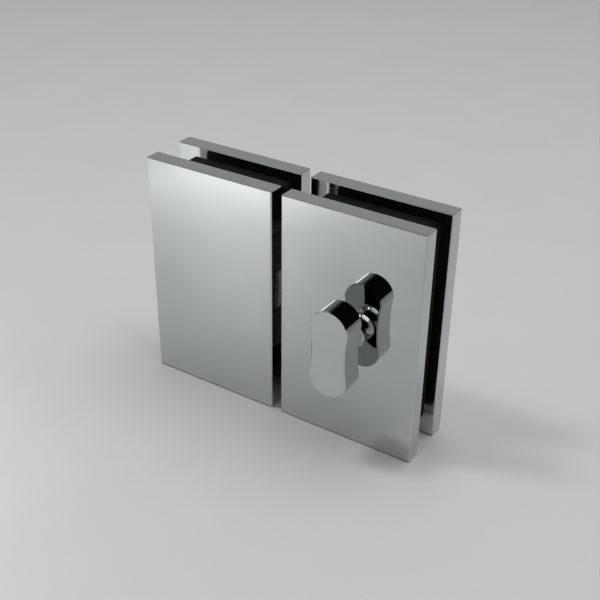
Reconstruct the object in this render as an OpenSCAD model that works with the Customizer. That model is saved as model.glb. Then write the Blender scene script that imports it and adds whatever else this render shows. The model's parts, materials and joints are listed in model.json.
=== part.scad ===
// Inline latch between two glass panes: a keeper half on the fixed pane and a latch half on the door.
// Millimetres. X runs along the panes, Y from front to back, Z up.
// The origin is midway between the halves, on the middle plane of the glass, at the plates' bottom edge.

/* [Plates] */
// Width of each clamp plate
plate_width = 55; // [54:0.5:60]
// Height of each clamp plate
plate_height = 90; // [86:1:100]
// Thickness of each clamp plate
plate_thickness = 6.5; // [6:0.1:8]
// Chamfer along every edge of a plate
plate_chamfer = 0.4; // [0.2:0.1:0.8]
// Gap between the two halves
meeting_gap = 4; // [3:0.1:5]

/* [Glass and pads] */
// Thickness of the glass that a half takes
glass_thickness = 8; // [7.8:0.1:8.4]
// Thickness of each pad between plate and glass
pad_thickness = 2; // [1.8:0.1:2.4]
// Bare plate left round a pad
pad_inset = 5.2; // [4.5:0.1:6.5]
// Corner radius of a pad
pad_corner = 2; // [1:0.5:3]
// Space between a pad's notch and the block in it
pad_notch_space = 0.5; // [0.3:0.1:1]

/* [Case and keeper block] */
// Height of the lock case and of the keeper block
case_height = 50; // [48:1:54]
// Outer corner radius of case and block
case_corner = 3; // [1:0.5:4]
// Distance of case and block behind the plates' meeting edge
case_recess = 0.5; // [0.2:0.1:0.8]
// Wall that the bolt slides through
case_end_wall = 3; // [2.5:0.1:3.5]
// Wall at the far end of the case
case_far_wall = 2; // [1.5:0.1:3]
// Wall between the case's hollow and the front plate
case_front_wall = 1.6; // [1.2:0.1:1.8]
// Thickness of the case's cover
cover_thickness = 1.8; // [1.4:0.1:2]
// Space left behind the case so that the glass is clamped first
case_back_space = 0.4; // [0.2:0.1:0.6]
// Wall between the keeper block's cores and the bolt's pocket
core_wall = 3; // [2:0.1:4]
// Outer wall of the keeper block beside its cores
block_wall = 2.5; // [2:0.1:3]
// Ribs between the keeper block's cores
core_rib = 2; // [1.5:0.1:3]
// Radius of the metal round a clamp screw in the keeper block
boss_radius = 6; // [5:0.1:7]

/* [Bolt] */
// Height of the bolt's nose
bolt_height = 16; // [15.9:0.1:18]
// Bevel at the tip of the nose
bolt_bevel = 0.8; // [0.4:0.1:1.2]
// Distance of the retracted tip behind the plates' meeting edge
bolt_recess = 0.6; // [0.5:0.1:1]
// Running clearance on each side of the bolt
bolt_clearance = 0.1; // [0.06:0.01:0.15]
// Metal left below the pin slot
tail_rail = 3.15; // [2.5:0.05:3.2]
// Metal left beyond the pin slot
tail_end_web = 2.2; // [1.8:0.1:3]

/* [Crank] */
// Radius at which the crank pin turns
crank_radius = 8; // [7.6:0.1:8.1]
// Diameter of the crank pin
pin_diameter = 4; // [3.5:0.1:4.2]
// Space on each side of the pin in the bolt's slot
pin_slot_space = 0.35; // [0.3:0.01:0.45]
// Radius of the crank's hub
hub_radius = 7.5; // [7:0.1:7.5]
// Metal round the pin
pin_boss_wall = 1.4; // [1.2:0.1:1.6]
// Thickness of the crank
crank_thickness = 3.3; // [3:0.1:3.3]
// Axial gap beside the crank
crank_gap = 0.2; // [0.15:0.01:0.25]

/* [Spindle] */
// Side of the square spindle
square_side = 5; // [4.8:0.1:5.1]
// Fit clearance round the square, on each side
square_clearance = 0.03; // [0.02:0.01:0.06]
// Radius of the spindle where it passes the bolt
spindle_radius = 3.6; // [3.6:0.05:3.8]
// Space between the spindle and the bolt's fork
fork_space = 0.3; // [0.2:0.05:0.4]
// Radius of the slotted release at the back
release_radius = 5; // [4.6:0.1:5.5]
// Width of the release's coin slot
coin_slot_width = 1.6; // [1.2:0.1:2]
// Depth of the release's coin slot
coin_slot_depth = 1.8; // [1.2:0.1:2.4]
// Radial clearance of every bearing
bearing_clearance = 0.05; // [0.03:0.01:0.08]

/* [Bushes] */
// Radial wall of the front bush
front_bush_wall = 1.45; // [1.2:0.05:1.8]
// Radial wall of the back bush
back_bush_wall = 1.45; // [1.2:0.05:1.8]
// Plate left in front of a bush
bush_lip = 1.5; // [1:0.1:2]

/* [Knob] */
// Distance of the knob's axis from the plate's meeting edge
knob_backset = 29.5; // [29.5:0.1:30.5]
// Height of the knob's head
knob_height = 33.5; // [31:0.5:36]
// Width across a lobe of the head
knob_width = 14.8; // [14.2:0.1:15.4]
// Width across the waist of the head
knob_waist = 13; // [12.2:0.1:13.4]
// Thickness of the head
knob_thickness = 9.4; // [8.5:0.1:11]
// Chamfer along the head's edges
knob_chamfer = 0.35; // [0.2:0.05:0.6]
// Distance from the plate to the head
knob_standoff = 6.5; // [6:0.1:8]
// Radius of the neck at its ends
neck_radius = 5.2; // [5:0.1:5.6]
// Radius of the neck at its middle
neck_waist_radius = 4.4; // [4.2:0.1:4.7]
// Radius of the knob's journal in the front plate
journal_radius = 4.5; // [4.3:0.05:4.6]
// Thickness of the washer under the neck
washer_thickness = 0.3; // [0.2:0.05:0.5]
// Metal left in front of the spindle's socket in the head
socket_cap = 3.8; // [3:0.1:4.5]
// Diameter of the knob's grub screw
grub_diameter = 3; // [2.5:0.5:3]

/* [Clamp screws] */
// Diameter of the clamp screws
screw_diameter = 6; // [5:0.5:6]
// Radius of the clamp screws' heads
screw_head_radius = 5.7; // [5.2:0.1:6]
// Distance of the clamp screws from the plate's meeting edge
screw_backset = 22; // [20:0.5:23]
// Distance between a half's two clamp screws
screw_spacing = 37; // [36:0.5:38]
// Across-flats size of the clamp screws' sockets
screw_socket = 4; // [3:0.5:4]
// Depth of the clamp screws' sockets
screw_socket_depth = 2.4; // [2:0.1:2.8]
// Clearance round a clamp screw
screw_clearance = 0.25; // [0.15:0.05:0.4]
// Plate left in front of a tapped hole
tap_floor = 1.5; // [1:0.1:2]

/* [Cover screws] */
// Diameter of the cover screws
cover_screw_diameter = 2.5; // [2:0.5:2.5]
// Length of the cover screws
cover_screw_length = 6; // [5:0.5:8]
// Distance of the cover screws from the cover's edges
cover_screw_inset = 4; // [3.8:0.1:5]

/* [Detent] */
// Diameter of the spring plunger's body
plunger_diameter = 4; // [3.5:0.5:4]
// Length of the spring plunger's body
plunger_length = 7; // [6:0.5:9]
// Size of the plunger's key socket
plunger_socket = 2; // [1.5:0.1:2.2]
// Depth of the plunger's key socket
plunger_socket_depth = 1.6; // [1:0.1:1.8]
// Diameter of the plunger's ball
ball_diameter = 2.5; // [2:0.1:2.6]
// Space between the raised ball and the hub's rim
ball_space = 0.05; // [0.03:0.01:0.1]
// Depth of the hub's detent notches
notch_depth = 0.6; // [0.4:0.1:0.8]

/* [Strike] */
// Wall of the nylon liner in the keeper's pocket
liner_wall = 1.2; // [1:0.1:1.5]
// Space above and below the thrown bolt in the liner
strike_space = 1.5; // [1:0.1:2]
// Space beyond the thrown bolt's tip
strike_end_space = 1.2; // [0.8:0.1:2]

/* [Hidden] */
$fn = 72;
KEEPER = -1;
LATCH = 1;
FRONT = -1;
BACK = 1;
hair = 0.01;

// planes from front to back
slot_half = glass_thickness / 2 + pad_thickness;
plate_outer = slot_half + plate_thickness;
case_front = -slot_half;
case_back = slot_half - case_back_space;
hollow_front = case_front + case_front_wall;
hollow_back = case_back - cover_thickness;
crank_front = hollow_front + crank_gap;
crank_back = crank_front + crank_thickness;
tail_front = crank_back + crank_gap;
bolt_back = hollow_back - 2 * bolt_clearance;
bolt_front = -bolt_back;

// heights
turn_z = plate_height / 2;
case_bottom = turn_z - case_height / 2;
case_top = turn_z + case_height / 2;
pin_slot_half = pin_diameter / 2 + pin_slot_space;
tail_bottom = turn_z - crank_radius - pin_slot_half - tail_rail;
bolt_bottom = turn_z - bolt_height / 2;
bolt_top = turn_z + bolt_height / 2;
hollow_bottom = tail_bottom - bolt_clearance;
hollow_top = bolt_top + bolt_clearance;
pocket_bottom = bolt_bottom - strike_space - liner_wall;
pocket_top = bolt_top + strike_space + liner_wall;
screw_rows = [turn_z - screw_spacing / 2, turn_z + screw_spacing / 2];

// the quarter turn moves the crank pin from one side of the axis to the other
turn_angle = 90;
pin_offset = crank_radius * sin(turn_angle / 2);
throw = 2 * pin_offset;

// distances from the meeting edge
tail_end = knob_backset + pin_offset + pin_slot_half + tail_end_web;
hollow_end = tail_end + 3 * bolt_clearance;
case_end = hollow_end + case_far_wall;
hollow_start = case_recess + case_end_wall;
tail_start = hollow_start + throw + 4 * bolt_clearance;
nose_end = tail_start + 0.8;
pocket_end = throw - bolt_recess - meeting_gap + strike_end_space + liner_wall;
turn_x = meeting_gap / 2 + knob_backset;
pin_x = turn_x + pin_offset;
pin_z = turn_z - crank_radius * cos(turn_angle / 2);

// knob
knob_back = -plate_outer - knob_standoff;
knob_front = knob_back - knob_thickness;
neck_foot = -plate_outer - washer_thickness;
journal_end = -slot_half - 0.1;
lobe_radius = knob_width / 2;
lobe_centre = knob_height / 2 - lobe_radius;
waist_half = knob_waist / 2;
// each waist arc starts on the lobes a little beyond their widest point, where it leaves a crease
crease_angle = 5;
crease_x = lobe_radius * cos(crease_angle);
crease_z = lobe_centre + lobe_radius * sin(crease_angle);
waist_sag = crease_x - waist_half;
waist_radius = (pow(waist_sag, 2) + pow(crease_z, 2)) / (2 * waist_sag);
waist_centre = waist_half + waist_radius;
socket_end = knob_front + socket_cap;

// position along X of a point at a distance from a half's meeting edge
function along(half, distance) = half * (meeting_gap / 2 + distance);

// box between two distances from the meeting edge
module slab(half, d0, d1, y0, y1, z0, z1) {
  translate([min(along(half, d0), along(half, d1)), y0, z0])
    cube([d1 - d0, y1 - y0, z1 - z0]);
}

// outline in X and Z, drawn out along Y
module drawn(y0, y1) {
  translate([0, y1, 0])
    rotate([90, 0, 0])
      linear_extrude(y1 - y0)
        children();
}

// round bar or cone along Y
module bar(x, z, y0, y1, r0, r1) {
  translate([x, y1, z])
    rotate([90, 0, 0])
      cylinder(r1 = r1, r2 = r0, h = y1 - y0);
}

// hexagonal prism along Y
module hex_bar(x, z, y0, y1, flats) {
  translate([x, y1, z])
    rotate([90, 0, 0])
      cylinder(d = flats / cos(30), h = y1 - y0, $fn = 6);
}

// rectangle with rounded corners, between two distances from the meeting edge
module rounded(half, d0, d1, z0, z1, r) {
  x0 = min(along(half, d0), along(half, d1));
  x1 = max(along(half, d0), along(half, d1));
  translate([x0 + r, z0])
    square([x1 - x0 - 2 * r, z1 - z0]);
  translate([x0, z0 + r])
    square([x1 - x0, z1 - z0 - 2 * r]);
  for (x = [x0 + r, x1 - r], z = [z0 + r, z1 - r])
    translate([x, z])
      circle(r);
}

// rectangle with its corners cut off
module cut_corners(w, h, c) {
  polygon([[c, 0], [w - c, 0], [w, c], [w, h - c], [w - c, h], [c, h], [0, h - c], [0, c]]);
}

// plate blank with every edge chamfered
module plate_blank(half, side) {
  x0 = min(along(half, 0), along(half, plate_width));
  y0 = side == FRONT ? -plate_outer : slot_half;
  translate([x0, y0, 0])
    intersection() {
      linear_extrude(plate_height)
        cut_corners(plate_width, plate_thickness, plate_chamfer);
      translate([0, plate_thickness, 0])
        rotate([90, 0, 0])
          linear_extrude(plate_thickness)
            cut_corners(plate_width, plate_height, plate_chamfer);
      rotate([90, 0, 90])
        linear_extrude(plate_width)
          cut_corners(plate_thickness, plate_height, plate_chamfer);
    }
}

// front plate with blind tapped holes behind
module front_plate(half) {
  tap_end = -plate_outer + tap_floor;
  r = screw_diameter / 2 + hair;
  difference() {
    plate_blank(half, FRONT);
    for (z = screw_rows)
      bar(along(half, screw_backset), z, tap_end, -slot_half + 1, r, r);
  }
}

// back plate with countersunk holes
module back_plate(half) {
  r = screw_diameter / 2 + screw_clearance;
  head = screw_head_radius + 0.15;
  x = along(half, screw_backset);
  difference() {
    plate_blank(half, BACK);
    for (z = screw_rows) {
      bar(x, z, slot_half - 1, plate_outer + 1, r, r);
      bar(x, z, plate_outer - head + r, plate_outer, r, head);
      bar(x, z, plate_outer - hair, plate_outer + 1, head, head);
    }
  }
}

// pad notched for the block or case
module pad(half, side) {
  y0 = side == FRONT ? -slot_half : slot_half - pad_thickness;
  difference() {
    drawn(y0, y0 + pad_thickness)
      rounded(half, pad_inset, plate_width - pad_inset, pad_inset, plate_height - pad_inset, pad_corner);
    slab(half, -1, case_end + pad_notch_space, y0 - 1, y0 + pad_thickness + 1,
         case_bottom - pad_notch_space, case_top + pad_notch_space);
  }
}

// one countersunk socket screw per row
module clamp_screws(half) {
  x = along(half, screw_backset);
  r = screw_diameter / 2;
  top = plate_outer - 0.1;
  for (z = screw_rows)
    difference() {
      union() {
        bar(x, z, -plate_outer + tap_floor + 0.5, top - screw_head_radius + r + hair, r, r);
        bar(x, z, top - screw_head_radius + r, top, r, screw_head_radius);
      }
      hex_bar(x, z, top - screw_socket_depth, top + 1, screw_socket);
    }
}

module keeper_front_plate() {
  color([0.82, 0.83, 0.84])
    front_plate(KEEPER);
}

module keeper_back_plate() {
  color([0.82, 0.83, 0.84])
    back_plate(KEEPER);
}

module keeper_front_pad() {
  color([0.04, 0.04, 0.04])
    pad(KEEPER, FRONT);
}

module keeper_back_pad() {
  color([0.04, 0.04, 0.04])
    pad(KEEPER, BACK);
}

// cast block, slotted at its end for the bolt and cored behind
module keeper_block() {
  r = screw_diameter / 2 + screw_clearance;
  core_start = screw_backset + boss_radius;
  core_end = case_end - block_wall;
  core_floor = case_front + block_wall;
  core_back = case_back + 1;
  near = pocket_end + core_wall;
  color([0.55, 0.56, 0.58])
    difference() {
      drawn(case_front, case_back)
        rounded(KEEPER, case_recess, case_end, case_bottom, case_top, case_corner);
      slab(KEEPER, -1, pocket_end, case_front - 1, case_back + 1, pocket_bottom, pocket_top);
      for (z = screw_rows)
        bar(along(KEEPER, screw_backset), z, case_front - 1, case_back + 1, r, r);
      slab(KEEPER, near, core_end, core_floor, core_back, pocket_bottom, turn_z - core_rib / 2);
      slab(KEEPER, near, core_end, core_floor, core_back, turn_z + core_rib / 2, pocket_top);
      slab(KEEPER, core_start, core_end, core_floor, core_back,
           case_bottom + block_wall, pocket_bottom - core_rib);
      slab(KEEPER, core_start, core_end, core_floor, core_back,
           pocket_top + core_rib, case_top - block_wall);
    }
}

// nylon channel that lines the block's slot
module strike_liner() {
  color([0.16, 0.16, 0.17])
    difference() {
      slab(KEEPER, case_recess, pocket_end, case_front, case_back, pocket_bottom, pocket_top);
      slab(KEEPER, -1, pocket_end - liner_wall, case_front - 1, case_back + 1,
           bolt_bottom - strike_space, bolt_top + strike_space);
    }
}

module keeper_clamp_screws() {
  color([0.6, 0.61, 0.62])
    clamp_screws(KEEPER);
}

// front plate bored for the knob's journal, with a seat for its bush behind
module latch_front_plate() {
  seat = journal_radius + bearing_clearance + front_bush_wall;
  bore = journal_radius + 2 * bearing_clearance;
  color([0.82, 0.83, 0.84])
    difference() {
      front_plate(LATCH);
      bar(turn_x, turn_z, -plate_outer - 1, 0, bore, bore);
      bar(turn_x, turn_z, -plate_outer + bush_lip, 0, seat, seat);
    }
}

// back plate bored for the release, with a seat for its bush in front
module latch_back_plate() {
  seat = release_radius + bearing_clearance + back_bush_wall;
  bore = release_radius + 2 * bearing_clearance;
  color([0.82, 0.83, 0.84])
    difference() {
      back_plate(LATCH);
      bar(turn_x, turn_z, 0, plate_outer + 1, bore, bore);
      bar(turn_x, turn_z, 0, plate_outer - bush_lip, seat, seat);
    }
}

module latch_front_pad() {
  color([0.04, 0.04, 0.04])
    pad(LATCH, FRONT);
}

module latch_back_pad() {
  color([0.04, 0.04, 0.04])
    pad(LATCH, BACK);
}

// positions of the cover screws
cover_screw_spots = [for (d = [case_recess + cover_screw_inset, case_end - cover_screw_inset],
                          z = [case_bottom + cover_screw_inset, case_top - cover_screw_inset])
                       [along(LATCH, d), z]];

// cast case, open behind, with a slot at its end for the bolt
module lock_case() {
  r = screw_diameter / 2 + screw_clearance;
  plunger_r = plunger_diameter / 2 + hair;
  tap = cover_screw_diameter / 2 + hair;
  color([0.55, 0.56, 0.58])
    difference() {
      drawn(case_front, hollow_back)
        rounded(LATCH, case_recess, case_end, case_bottom, case_top, case_corner);
      slab(LATCH, hollow_start, hollow_end, hollow_front, hollow_back + 1, hollow_bottom, hollow_top);
      slab(LATCH, -1, hollow_start + hair, bolt_front - bolt_clearance, hollow_back + 1,
           bolt_bottom - bolt_clearance, hollow_top);
      bar(turn_x, turn_z, case_front - 1, hollow_front + hair, square_side * 0.8, square_side * 0.8);
      for (z = screw_rows)
        bar(along(LATCH, screw_backset), z, case_front - 1, hollow_back + 1, r, r);
      for (p = cover_screw_spots)
        bar(p[0], p[1], hollow_back - cover_screw_length, hollow_back + 1, tap, tap);
      translate([turn_x, (crank_front + crank_back) / 2, hollow_top - hair])
        cylinder(r = plunger_r, h = case_top);
    }
}

// flat lid of the case
module lock_cover() {
  r = screw_diameter / 2 + screw_clearance;
  small = cover_screw_diameter / 2 + 0.1;
  bore = spindle_radius + bearing_clearance;
  color([0.6, 0.6, 0.58])
    difference() {
      drawn(hollow_back, case_back)
        rounded(LATCH, case_recess, case_end, case_bottom, case_top, case_corner);
      bar(turn_x, turn_z, hollow_back - 1, case_back + 1, bore, bore);
      for (z = screw_rows)
        bar(along(LATCH, screw_backset), z, hollow_back - 1, case_back + 1, r, r);
      for (p = cover_screw_spots) {
        bar(p[0], p[1], hollow_back - 1, case_back + 1, small, small);
        bar(p[0], p[1], case_back - small, case_back, small, 2 * small);
        bar(p[0], p[1], case_back - hair, case_back + 1, 2 * small, 2 * small);
      }
    }
}

// countersunk screws of the cover
module lock_cover_screws() {
  r = cover_screw_diameter / 2;
  top = case_back - 0.05;
  color([0.6, 0.61, 0.62])
    for (p = cover_screw_spots)
      difference() {
        union() {
          bar(p[0], p[1], hollow_back - cover_screw_length + 0.5, top - r + hair, r, r);
          bar(p[0], p[1], top - r, top, r, 2 * r);
        }
        hex_bar(p[0], p[1], top - 0.9, top + 1, 1.5);
      }
}

module latch_clamp_screws() {
  color([0.6, 0.61, 0.62])
    clamp_screws(LATCH);
}

// bearing of the knob's journal
module front_bush() {
  inner = journal_radius + bearing_clearance;
  color([0.85, 0.85, 0.82])
    difference() {
      bar(turn_x, turn_z, -plate_outer + bush_lip, -slot_half,
          inner + front_bush_wall, inner + front_bush_wall);
      bar(turn_x, turn_z, -plate_outer, 0, inner, inner);
    }
}

// bearing of the slotted release
module back_bush() {
  inner = release_radius + bearing_clearance;
  color([0.85, 0.85, 0.82])
    difference() {
      bar(turn_x, turn_z, slot_half, plate_outer - bush_lip, inner + back_bush_wall, inner + back_bush_wall);
      bar(turn_x, turn_z, 0, plate_outer, inner, inner);
    }
}

// height of the raised ball's centre over the hub
ball_z = turn_z + hub_radius + ball_space + ball_diameter / 2;

// spring plunger: threaded body with a hollow nose and a socket behind
module detent_plunger() {
  nose = ball_z - 0.1;
  ball_hole = ball_diameter / 2 + 0.05;
  color([0.5, 0.5, 0.52])
    translate([turn_x, (crank_front + crank_back) / 2, 0])
      difference() {
        translate([0, 0, nose])
          cylinder(d = plunger_diameter, h = plunger_length);
        translate([0, 0, nose - 1])
          cylinder(r = ball_hole, h = plunger_length - 2);
        translate([0, 0, nose + plunger_length - plunger_socket_depth])
          cylinder(d = plunger_socket / cos(30), h = 2 * plunger_socket_depth, $fn = 6);
      }
}

module detent_ball() {
  color([0.75, 0.75, 0.76])
    translate([turn_x, (crank_front + crank_back) / 2, ball_z])
      sphere(d = ball_diameter);
}

// bolt: nose in front, forked tail that clears the spindle, upright slot for the crank pin
module bolt() {
  fork_half = spindle_radius + fork_space;
  tip = along(LATCH, bolt_recess);
  back = along(LATCH, nose_end);
  color([0.66, 0.66, 0.68])
    difference() {
      union() {
        intersection() {
          translate([0, 0, bolt_bottom])
            linear_extrude(bolt_height)
              polygon([[tip, bolt_front + bolt_bevel], [tip + bolt_bevel, bolt_front], [back, bolt_front],
                       [back, bolt_back], [tip + bolt_bevel, bolt_back], [tip, bolt_back - bolt_bevel]]);
          drawn(bolt_front, bolt_back)
            polygon([[tip, bolt_bottom + bolt_bevel], [tip + bolt_bevel, bolt_bottom], [back, bolt_bottom],
                     [back, bolt_top], [tip + bolt_bevel, bolt_top], [tip, bolt_top - bolt_bevel]]);
        }
        slab(LATCH, tail_start, tail_end, tail_front, bolt_back, tail_bottom, bolt_top);
      }
      bar(turn_x, turn_z, tail_front - 1, bolt_back + 1, fork_half, fork_half);
      slab(LATCH, knob_backset, tail_end + 1, tail_front - 1, bolt_back + 1, turn_z - fork_half,
           turn_z + fork_half);
      slab(LATCH, knob_backset + pin_offset - pin_slot_half, knob_backset + pin_offset + pin_slot_half,
           tail_front - 1, bolt_back + 1, turn_z - crank_radius - pin_slot_half, turn_z);
    }
}

// crank: hub on the square spindle, arm to the pin, notches for the detent ball
module crank() {
  boss = pin_diameter / 2 + pin_boss_wall;
  lean = asin((hub_radius - boss) / crank_radius);
  side = square_side + 2 * square_clearance;
  notch = hub_radius - notch_depth + ball_diameter / 2;
  color([0.7, 0.62, 0.38])
    translate([turn_x, 0, turn_z])
      difference() {
        union() {
          bar(0, 0, crank_front, crank_back, hub_radius, hub_radius);
          bar(pin_offset, pin_z - turn_z, crank_front, crank_back, boss, boss);
          drawn(crank_front, crank_back)
            rotate(turn_angle / 2 - 90)
              polygon([[hub_radius * sin(lean), hub_radius * cos(lean)],
                       [crank_radius + boss * sin(lean), boss * cos(lean)],
                       [crank_radius + boss * sin(lean), -boss * cos(lean)],
                       [hub_radius * sin(lean), -hub_radius * cos(lean)]]);
        }
        bar(pin_offset, pin_z - turn_z, crank_front - 1, crank_back + 1, pin_diameter / 2, pin_diameter / 2);
        translate([-side / 2, crank_front - 1, -side / 2])
          cube([side, crank_thickness + 2, side]);
        for (p = [[0, notch], [-notch, 0]])
          translate([p[0], (crank_front + crank_back) / 2, p[1]])
            sphere(d = ball_diameter);
      }
}

module crank_pin() {
  color([0.62, 0.63, 0.65])
    bar(pin_x, pin_z, crank_front, bolt_back - 0.3, pin_diameter / 2, pin_diameter / 2);
}

// square bar, round where it passes the bolt, slotted head behind
module spindle() {
  shoulder = case_back + 0.1;
  head_end = plate_outer - 0.2;
  color([0.62, 0.63, 0.65])
    translate([turn_x, 0, turn_z])
      difference() {
        union() {
          translate([-square_side / 2, socket_end + 0.1, -square_side / 2])
            cube([square_side, crank_back + 0.05 - socket_end - 0.1, square_side]);
          bar(0, 0, crank_back + 0.05, shoulder + hair, spindle_radius, spindle_radius);
          bar(0, 0, shoulder, head_end, release_radius, release_radius);
        }
        translate([-release_radius - 1, head_end - coin_slot_depth, -coin_slot_width / 2])
          cube([2 * release_radius + 2, coin_slot_depth + 1, coin_slot_width]);
      }
}

// one lobe of the head, with both edges chamfered
module lobe(z) {
  flat = lobe_radius - knob_chamfer;
  bar(0, z, knob_front, knob_front + knob_chamfer, flat, lobe_radius);
  bar(0, z, knob_front + knob_chamfer, knob_back - knob_chamfer, lobe_radius, lobe_radius);
  bar(0, z, knob_back - knob_chamfer, knob_back, lobe_radius, flat);
}

// cutter of one side of the waist, flared for the chamfers
module waist_cutter(side) {
  x = side * waist_centre;
  wide = waist_radius + knob_chamfer;
  bar(x, 0, knob_front - 1, knob_back + 1, waist_radius, waist_radius);
  bar(x, 0, knob_front, knob_front + knob_chamfer, wide, waist_radius);
  bar(x, 0, knob_back - knob_chamfer, knob_back, waist_radius, wide);
}

// knob: peanut-shaped head, coved neck and journal in one piece, with a square socket
module turn_knob() {
  neck = neck_foot - knob_back;
  cove_reach = neck / 2 - 0.25;
  cove_depth = neck_radius - neck_waist_radius;
  cove = (pow(cove_reach, 2) + pow(cove_depth, 2)) / (2 * cove_depth);
  side = square_side + 2 * square_clearance;
  color([0.82, 0.83, 0.84])
    translate([turn_x, 0, turn_z])
      difference() {
        union() {
          difference() {
            union() {
              lobe(lobe_centre);
              lobe(-lobe_centre);
              translate([-crease_x, knob_front, -lobe_centre])
                cube([2 * crease_x, knob_thickness, 2 * lobe_centre]);
            }
            waist_cutter(-1);
            waist_cutter(1);
          }
          translate([0, neck_foot, 0])
            rotate([90, 0, 0])
              rotate_extrude()
                difference() {
                  square([neck_radius, neck + hair]);
                  translate([neck_waist_radius + cove, neck / 2])
                    circle(cove);
                }
          bar(0, 0, neck_foot - hair, journal_end, journal_radius, journal_radius);
        }
        translate([-side / 2, socket_end, -side / 2])
          cube([side, -socket_end, side]);
        translate([0, (knob_back + neck_foot) / 2, -neck_radius - 1])
          cylinder(d = grub_diameter + 2 * hair, h = neck_radius + 1);
      }
}

module knob_washer() {
  inner = journal_radius + 2 * bearing_clearance;
  color([0.1, 0.1, 0.1])
    difference() {
      bar(turn_x, turn_z, neck_foot, -plate_outer, neck_radius, neck_radius);
      bar(turn_x, turn_z, neck_foot - 1, 0, inner, inner);
    }
}

// grub screw under the neck that bears on the square
module knob_grub_screw() {
  length = neck_waist_radius - square_side / 2 - 0.25;
  color([0.4, 0.4, 0.42])
    translate([turn_x, (knob_back + neck_foot) / 2, turn_z - square_side / 2 - length])
      difference() {
        cylinder(d = grub_diameter, h = length);
        translate([0, 0, -1])
          cylinder(d = 1.5 / cos(30), h = 1.9, $fn = 6);
      }
}

keeper_front_plate();
keeper_back_plate();
keeper_front_pad();
keeper_back_pad();
keeper_block();
strike_liner();
keeper_clamp_screws();
latch_front_plate();
latch_back_plate();
latch_front_pad();
latch_back_pad();
lock_case();
lock_cover();
lock_cover_screws();
latch_clamp_screws();
front_bush();
back_bush();
detent_plunger();
detent_ball();
bolt();
crank();
crank_pin();
spindle();
turn_knob();
knob_washer();
knob_grub_screw();
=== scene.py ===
import json
import math

import bpy
from mathutils import Matrix, Vector

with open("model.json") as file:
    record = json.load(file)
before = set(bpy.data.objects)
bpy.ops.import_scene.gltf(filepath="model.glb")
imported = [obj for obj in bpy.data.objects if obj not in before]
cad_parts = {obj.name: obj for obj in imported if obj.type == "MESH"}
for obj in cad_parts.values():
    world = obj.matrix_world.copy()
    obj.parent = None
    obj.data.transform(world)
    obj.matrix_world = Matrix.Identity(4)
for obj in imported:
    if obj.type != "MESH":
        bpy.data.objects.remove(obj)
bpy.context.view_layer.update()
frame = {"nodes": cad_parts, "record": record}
nodes = frame["nodes"]
scene = bpy.context.scene


# Materials: lengths are in millimetres

MM_PER_M = 1000
SLOT_HALF = 6.0  # from the glass's mid-plane to the plates' inner faces


class MaterialTree:
    """A material's node tree, with short names for the nodes used here."""

    def __init__(self, name):
        self.material = bpy.data.materials.new(name)
        self.material.use_nodes = True
        self.tree = self.material.node_tree
        self.tree.nodes.clear()
        out = self.tree.nodes.new("ShaderNodeOutputMaterial")
        self.shader = self.tree.nodes.new("ShaderNodeBsdfPrincipled")
        self.link(self.shader.outputs["BSDF"], out.inputs["Surface"])
        self.place = self.tree.nodes.new("ShaderNodeTexCoord").outputs["Object"]

    def link(self, a, b):
        self.tree.links.new(a, b)

    def set(self, **values):
        """Gives shader sockets a constant each, or links them to another node's output."""
        for key, value in values.items():
            socket = self.shader.inputs[key.replace("_", " ")]
            if isinstance(value, bpy.types.NodeSocket):
                self.link(value, socket)
            else:
                socket.default_value = value

    def mapped(self, stretch=(1, 1, 1)):
        """The place on the piece in millimetres, with each axis scaled by its stretch."""
        node = self.tree.nodes.new("ShaderNodeMapping")
        node.inputs["Scale"].default_value = [MM_PER_M * s for s in stretch]
        self.link(self.place, node.inputs["Vector"])
        return node.outputs["Vector"]

    def noise(self, size, detail, stretch=(1, 1, 1)):
        node = self.tree.nodes.new("ShaderNodeTexNoise")
        node.inputs["Scale"].default_value = 1 / size
        node.inputs["Detail"].default_value = detail
        self.link(self.mapped(stretch), node.inputs["Vector"])
        return node.outputs["Fac"]

    def math(self, operation, *values):
        node = self.tree.nodes.new("ShaderNodeMath")
        node.operation = operation
        for value, socket in zip(values, node.inputs):
            self.link(value, socket)
        return node.outputs["Value"]

    def from_middle(self):
        """Distance from the glass's mid-plane."""
        node = self.tree.nodes.new("ShaderNodeSeparateXYZ")
        self.link(self.mapped(), node.inputs["Vector"])
        return self.math("ABSOLUTE", node.outputs["Y"])

    def spread(self, fac, low, high, start=0.3, end=0.7):
        """From low to high as fac goes from start to end."""
        node = self.tree.nodes.new("ShaderNodeMapRange")
        node.inputs["From Min"].default_value = start
        node.inputs["From Max"].default_value = end
        node.inputs["To Min"].default_value = low
        node.inputs["To Max"].default_value = high
        self.link(fac, node.inputs["Value"])
        return node.outputs["Result"]

    def ramp(self, fac, dark, light, start=0.35, end=0.65):
        """From the dark colour to the light one as fac goes from start to end."""
        node = self.tree.nodes.new("ShaderNodeValToRGB")
        stops = ((start, dark), (end, light))
        for element, (position, colour) in zip(node.color_ramp.elements, stops):
            element.position = position
            element.color = (*colour, 1)
        self.link(fac, node.inputs["Fac"])
        return node.outputs["Color"]

    def bump(self, height, depth):
        node = self.tree.nodes.new("ShaderNodeBump")
        node.inputs["Distance"].default_value = depth / MM_PER_M
        self.link(height, node.inputs["Height"])
        return node.outputs["Normal"]


# In the finishes below, the colour goes from dark to light in patches, and the roughness
# from the low to the high value of rough along the grain. Depth is the bump's.


def metal(name, dark, light, patch, rough, grain, depth, pit, stretch=(1, 1, 1)):
    """Cast, drawn or ground metal with fine pits or grinding marks."""
    m = MaterialTree(name)
    m.set(
        Metallic=1.0,
        Base_Color=m.ramp(m.noise(patch, 3), dark, light),
        Roughness=m.spread(m.noise(grain, 4, stretch), *rough),
        Normal=m.bump(m.noise(pit, 3, stretch), depth),
    )
    return m.material


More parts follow.
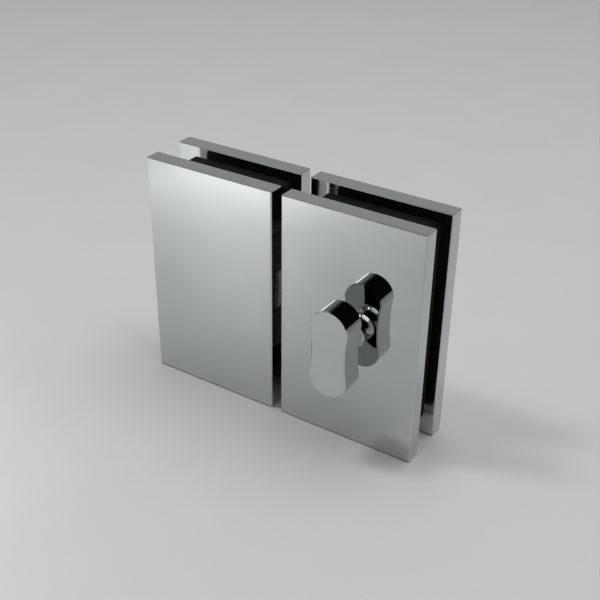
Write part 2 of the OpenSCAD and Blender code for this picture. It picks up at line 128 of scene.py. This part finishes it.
def chrome(name, dark, light, patch, rough, grain, dull, inner, fade):
    """Polished plating, left dull on the faces that lie within inner of the glass's mid-plane."""
    m = MaterialTree(name)
    polish = m.spread(m.noise(grain, 4), *rough)
    satin = m.spread(m.from_middle(), dull, 0, inner, inner + fade)
    m.set(
        Metallic=1.0,
        Base_Color=m.ramp(m.noise(patch, 3), dark, light),
        Roughness=m.math("MAXIMUM", polish, satin),
    )
    return m.material


def plastic(name, dark, light, patch, rough, grain, depth, shine=0.5):
    """Rubber or moulded plastic with a fine skin."""
    m = MaterialTree(name)
    m.set(
        Specular_IOR_Level=shine,
        Base_Color=m.ramp(m.noise(patch, 4), dark, light),
        Roughness=m.spread(m.noise(grain, 4), *rough),
        Normal=m.bump(m.noise(grain, 5), depth),
    )
    return m.material


looks = {
    "chrome_plate": (chrome, dict(
        dark=(0.539, 0.557, 0.553), light=(0.569, 0.587, 0.583), patch=18,
        rough=(0.02, 0.05), grain=5, dull=0.1, inner=SLOT_HALF + 0.1, fade=0.2,
    )),
    "pad_rubber": (plastic, dict(
        dark=(0.006, 0.0057, 0.0045), light=(0.013, 0.012, 0.0095), patch=6,
        rough=(0.55, 0.8), grain=0.5, depth=0.03, shine=0.16,
    )),
    "cast_metal": (metal, dict(
        dark=(0.05, 0.052, 0.055), light=(0.085, 0.088, 0.092), patch=3,
        rough=(0.38, 0.6), grain=0.7, depth=0.04, pit=0.6,
    )),
    "stainless": (metal, dict(
        dark=(0.50, 0.51, 0.52), light=(0.58, 0.59, 0.60), patch=2,
        rough=(0.16, 0.34), grain=0.4, depth=0.004, pit=0.3,
    )),
    "bolt_steel": (metal, dict(
        dark=(0.55, 0.56, 0.57), light=(0.63, 0.63, 0.64), patch=6,
        rough=(0.14, 0.3), grain=0.5, depth=0.004, pit=0.3, stretch=(0.08, 1, 1),
    )),
    "crank_brass": (metal, dict(
        dark=(0.62, 0.45, 0.17), light=(0.72, 0.54, 0.23), patch=3,
        rough=(0.2, 0.38), grain=0.5, depth=0.006, pit=0.4,
    )),
    "acetal": (plastic, dict(
        dark=(0.66, 0.66, 0.62), light=(0.74, 0.74, 0.70), patch=3,
        rough=(0.35, 0.5), grain=0.4, depth=0.01,
    )),
    "black_nylon": (plastic, dict(
        dark=(0.014, 0.014, 0.015), light=(0.026, 0.026, 0.027), patch=2,
        rough=(0.4, 0.6), grain=0.3, depth=0.01,
    )),
}
finishes = {slot: finish(slot, **look) for slot, (finish, look) in looks.items()}
for part in frame["record"]["subparts"]:
    slots = nodes[part["node"]].data.materials
    slots.clear()
    slots.append(finishes[part["material_slot"]])


# Floor: from here on lengths are in metres, except in the floor's material

FLOOR_HALF = 12
FLOOR_DROP = 0.0001  # keeps the floor clear of the plates' lower edges


def floor_material():
    m = MaterialTree("floor")
    m.set(
        Roughness=0.42,
        Base_Color=m.ramp(
            m.noise(size=40, detail=3), dark=(0.692, 0.70, 0.705), light=(0.707, 0.715, 0.72)
        ),
    )
    return m.material


corners = [(x * FLOOR_HALF, y * FLOOR_HALF, 0) for x, y in ((-1, -1), (1, -1), (1, 1), (-1, 1))]
plane = bpy.data.meshes.new("floor")
plane.from_pydata(corners, [], [(0, 1, 2, 3)])
plane.materials.append(floor_material())
floor = bpy.data.objects.new("floor", plane)
floor.location = (0, 0, -FLOOR_DROP)
scene.collection.objects.link(floor)


# Light


def area(name, at, to, size, power):
    light = bpy.data.lights.new(name, "AREA")
    light.shape = "RECTANGLE"
    light.size, light.size_y = size
    light.energy = power
    lamp = bpy.data.objects.new(name, light)
    lamp.location = at
    lamp.rotation_euler = (Vector(to) - Vector(at)).to_track_quat("-Z", "Y").to_euler()
    scene.collection.objects.link(lamp)
    return lamp


# The room's soft light, and a smaller lamp that casts the shadow at the right
area("overhead", at=(0.33, 0.12, 1.25), to=(0, 0, 0), size=(1.2, 1.2), power=7.3)
area("left", at=(-0.43, -0.24, 0.95), to=(0, 0, 0), size=(0.16, 0.16), power=2.25)

# Low light from the front left, and a bright patch of floor outside the picture that the
# upper part of the plates mirrors
low_window = area(
    "low_window", at=(-0.54, -0.675, 0.075), to=(0, -0.02, 0.03), size=(0.75, 0.11), power=0.6
)
low_window.visible_camera = False
pool = area(
    "pool", at=(-0.145, -0.2, 0.09), to=(-0.145, -0.2, 0), size=(0.06, 0.06), power=0.104
)
pool.visible_camera = False
pool.data.spread = math.radians(150)


# Room: an even grey that turns dark toward the camera's side, which the knob's round top mirrors

DARK_SIDE = Vector((0.3, -0.82, 0.45)).normalized()
ROOM_STOPS = (  # how far a direction lies toward the dark side, as a cosine, and the light there
    (0.55, (0.37, 0.375, 0.38)),
    (0.8, (0.004, 0.004, 0.005)),
)

world = bpy.data.worlds.new("room")
scene.world = world
world.use_nodes = True
tree = world.node_tree
tree.nodes.clear()
out = tree.nodes.new("ShaderNodeOutputWorld")
back = tree.nodes.new("ShaderNodeBackground")
side = tree.nodes.new("ShaderNodeTexCoord")
toward = tree.nodes.new("ShaderNodeVectorMath")
toward.operation = "DOT_PRODUCT"
toward.inputs[1].default_value = DARK_SIDE
shade = tree.nodes.new("ShaderNodeValToRGB")
shade.color_ramp.interpolation = "EASE"
for element, (position, colour) in zip(shade.color_ramp.elements, ROOM_STOPS):
    element.position = position
    element.color = (*colour, 1)
tree.links.new(side.outputs["Generated"], toward.inputs[0])
tree.links.new(toward.outputs["Value"], shade.inputs["Fac"])
tree.links.new(shade.outputs["Color"], back.inputs["Color"])
tree.links.new(back.outputs["Background"], out.inputs["Surface"])


# Camera, at the photograph's place: target, direction and roll fitted to the plates' corners

PHOTO_WIDTH = 600  # pixels
FOCAL = 996.644  # pixels
SENSOR = 36  # millimetres
DISTANCE = 0.349786
TARGET = Vector((0.010149, -0.0125, 0.051734))
AZIMUTH, ELEVATION, ROLL = (math.radians(a) for a in (32.701, 30.293, 0.755))

level = math.cos(ELEVATION)
away = Vector((math.sin(AZIMUTH) * level, -math.cos(AZIMUTH) * level, math.sin(ELEVATION)))
right = Vector((math.cos(AZIMUTH), math.sin(AZIMUTH), 0))
up = away.cross(right)
across = math.cos(ROLL) * right + math.sin(ROLL) * up
upward = math.cos(ROLL) * up - math.sin(ROLL) * right
turned = Matrix((across, upward, away)).transposed().to_4x4()

camera = bpy.data.objects.new("camera", bpy.data.cameras.new("camera"))
camera.data.sensor_width = SENSOR
camera.data.lens = SENSOR * FOCAL / PHOTO_WIDTH
camera.data.clip_start = 0.01
camera.matrix_world = Matrix.Translation(TARGET + DISTANCE * away) @ turned
scene.collection.objects.link(camera)
scene.camera = camera
scene.view_settings.view_transform = "Standard"
